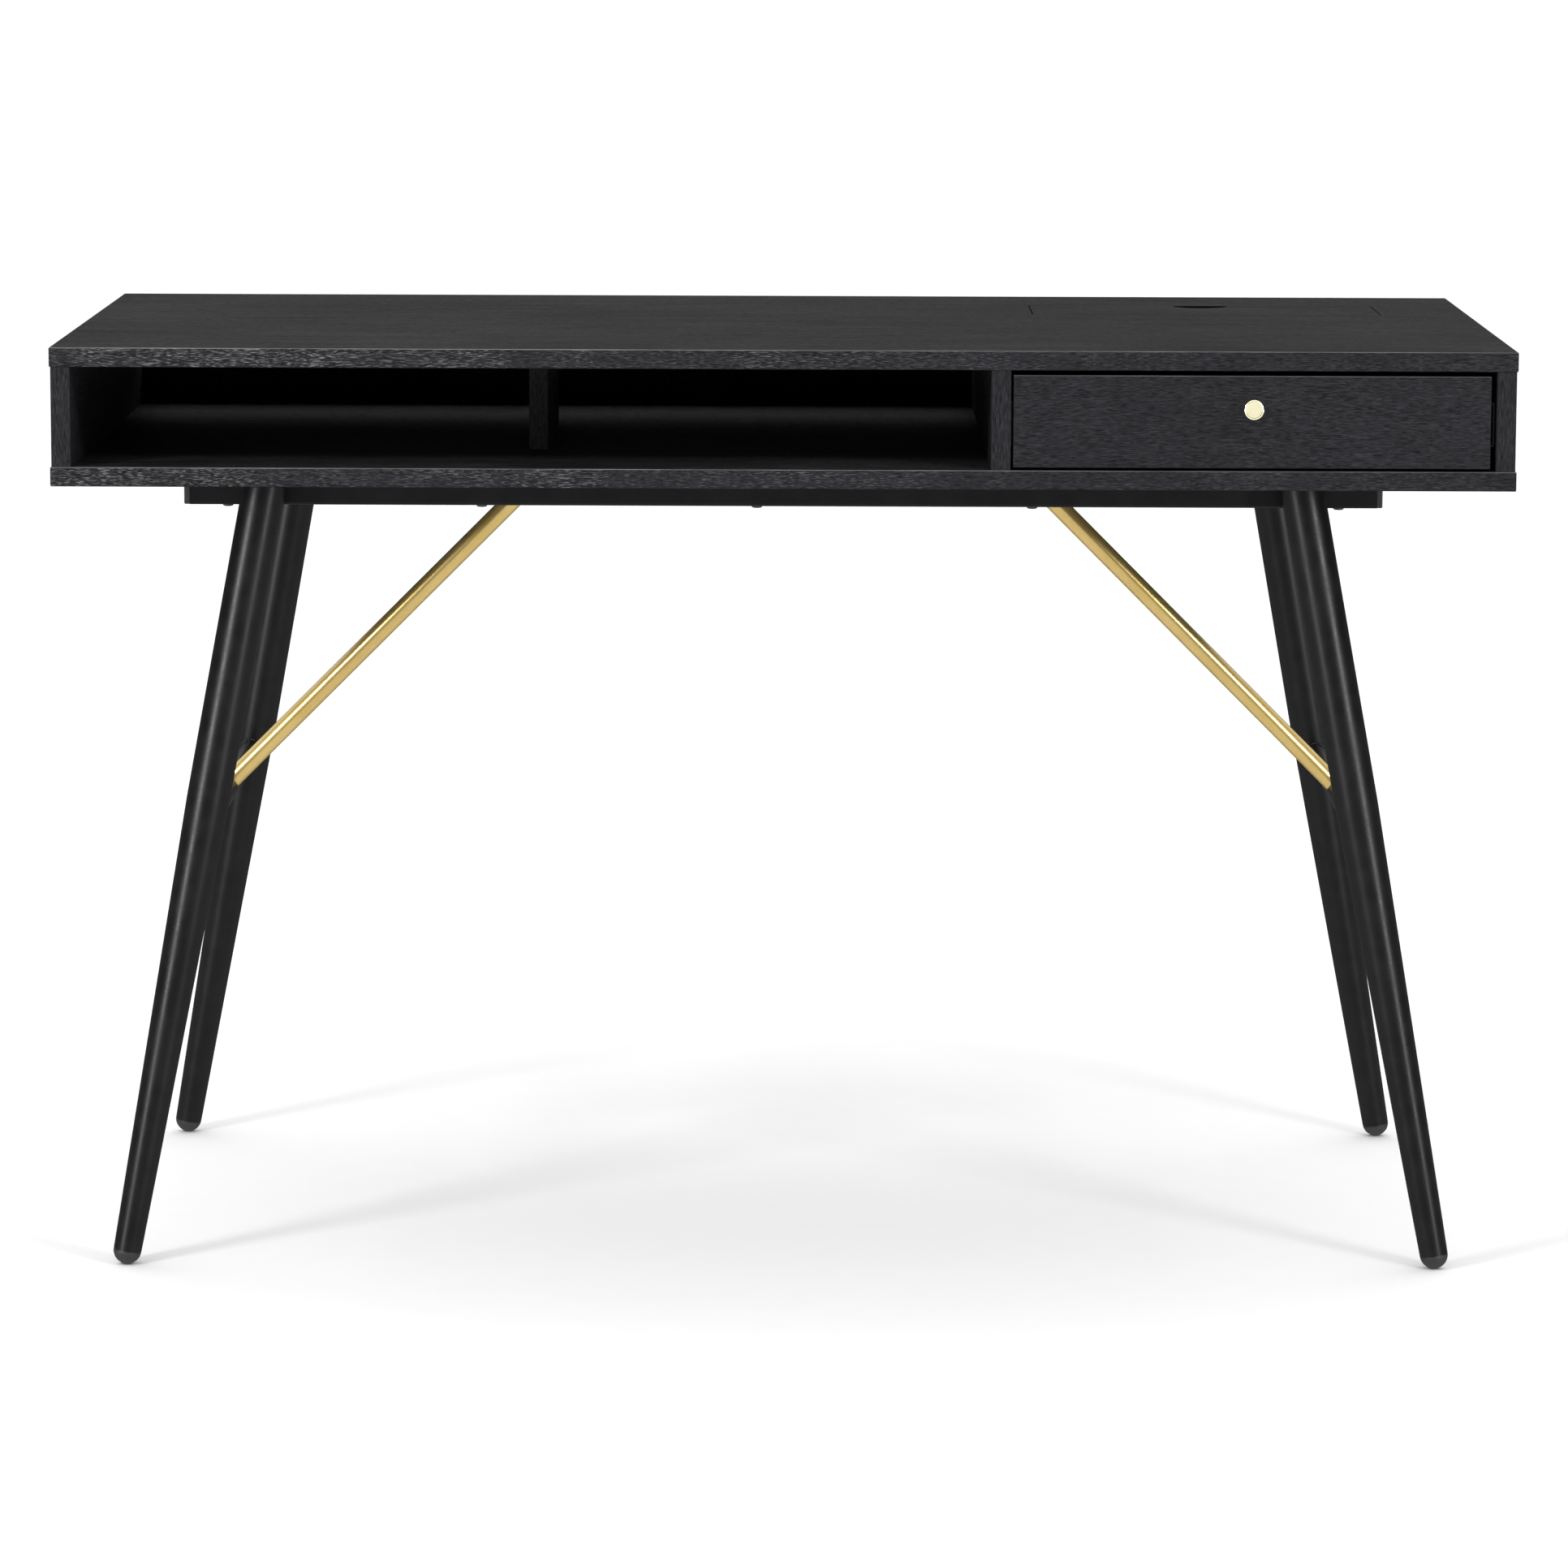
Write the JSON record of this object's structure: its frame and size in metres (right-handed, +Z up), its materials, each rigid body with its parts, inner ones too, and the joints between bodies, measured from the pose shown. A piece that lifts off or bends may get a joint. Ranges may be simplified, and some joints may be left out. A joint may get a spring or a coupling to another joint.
{
  "type": "writing desk",
  "caption": "Black ash writing desk: open shelf, inset drawer with a round knob, lift-up cable flap, splayed tapered steel legs and slanting brass braces.",
  "frame": {"origin": "on the floor, under the middle of the desk's outline including the knob", "axes": "+X to the right, +Y to the back, +Z up; the drawer opens towards -Y"},
  "size_m": [1.2, 0.62, 0.77],
  "materials": {
    "stained_ash": "black-stained open-pore ash veneer, satin lacquer",
    "drawer_board": "black melamine-faced board, matt",
    "hardboard": "painted hardboard, matt",
    "beech": "plain fluted dowel, unfinished",
    "black_steel": "satin black powder coat",
    "brass": "brushed and lacquered",
    "black_zinc": "black passivated zinc plate",
    "zinc_steel": "bright zinc plated",
    "black_fasteners": "black oxide",
    "black_plastic": "moulded, fine matt",
    "nylon": "natural nylon"
  },
  "bodies": {
    "case": {"top_panel": "stained_ash", "bottom_panel": "stained_ash", "left_side_panel": "stained_ash", "right_side_panel": "stained_ash", "drawer_divider": "stained_ash", "shelf_divider": "stained_ash", "cubby_back_rail": "stained_ash", "cable_bay_partition": "stained_ash", "drawer_bay_back_panel": "stained_ash", "flap_rest_cleats": "stained_ash", "case_dowels": "beech", "front_rail": "black_steel", "rear_rail": "black_steel", "left_cross_rail": "black_steel", "right_cross_rail": "black_steel", "front_left_leg": "black_steel", "front_right_leg": "black_steel", "rear_left_leg": "black_steel", "rear_right_leg": "black_steel", "left_stretcher": "black_steel", "right_stretcher": "black_steel", "left_brace": "brass", "right_brace": "brass", "flap_cleat_screws": "zinc_steel", "case_runner_screws": "zinc_steel", "left_runner_case_member": "black_zinc", "right_runner_case_member": "black_zinc", "rail_screws": "black_fasteners", "leg_plate_screws": "black_fasteners", "brace_plate_screws": "black_fasteners", "brace_bolts": "black_fasteners", "rail_end_plugs": "black_plastic", "front_left_foot_glide": "black_plastic", "front_right_foot_glide": "black_plastic", "rear_left_foot_glide": "black_plastic", "rear_right_foot_glide": "black_plastic", "flap_hinge_bushes": "nylon"},
    "drawer": {"drawer_front": "stained_ash", "drawer_left_side": "drawer_board", "drawer_right_side": "drawer_board", "drawer_back": "drawer_board", "drawer_bottom": "hardboard", "drawer_dowels": "beech", "drawer_knob": "brass", "knob_screw": "zinc_steel", "drawer_runner_screws": "zinc_steel", "left_runner_drawer_member": "black_zinc", "right_runner_drawer_member": "black_zinc"},
    "left_runner": {"left_runner_middle_member": "black_zinc", "left_runner_balls": "zinc_steel", "left_runner_ball_cages": "nylon"},
    "right_runner": {"right_runner_middle_member": "black_zinc", "right_runner_balls": "zinc_steel", "right_runner_ball_cages": "nylon"},
    "flap": {"cable_flap": "stained_ash", "flap_pivot_pins": "zinc_steel"}
  },
  "joints": [
    {"name": "drawer_slide", "type": "slide", "parent": "case", "child": "drawer", "axis": [0, -1, 0], "range_m": [0, 0.3]},
    {"name": "left_runner_slide", "type": "slide", "parent": "case", "child": "left_runner", "axis": [0, -1, 0], "range_m": [0, 0.15]},
    {"name": "right_runner_slide", "type": "slide", "parent": "case", "child": "right_runner", "axis": [0, -1, 0], "range_m": [0, 0.15]},
    {"name": "flap_hinge", "type": "hinge", "parent": "case", "child": "flap", "pos_m": [0.37, 0.108, 0.765], "axis": [1, 0, 0], "range_deg": [0, 97]}
  ],
  "couplings": [
    {"joint": "left_runner_slide", "follows": "drawer_slide", "ratio": 0.5},
    {"joint": "right_runner_slide", "follows": "drawer_slide", "ratio": 0.5}
  ]
}
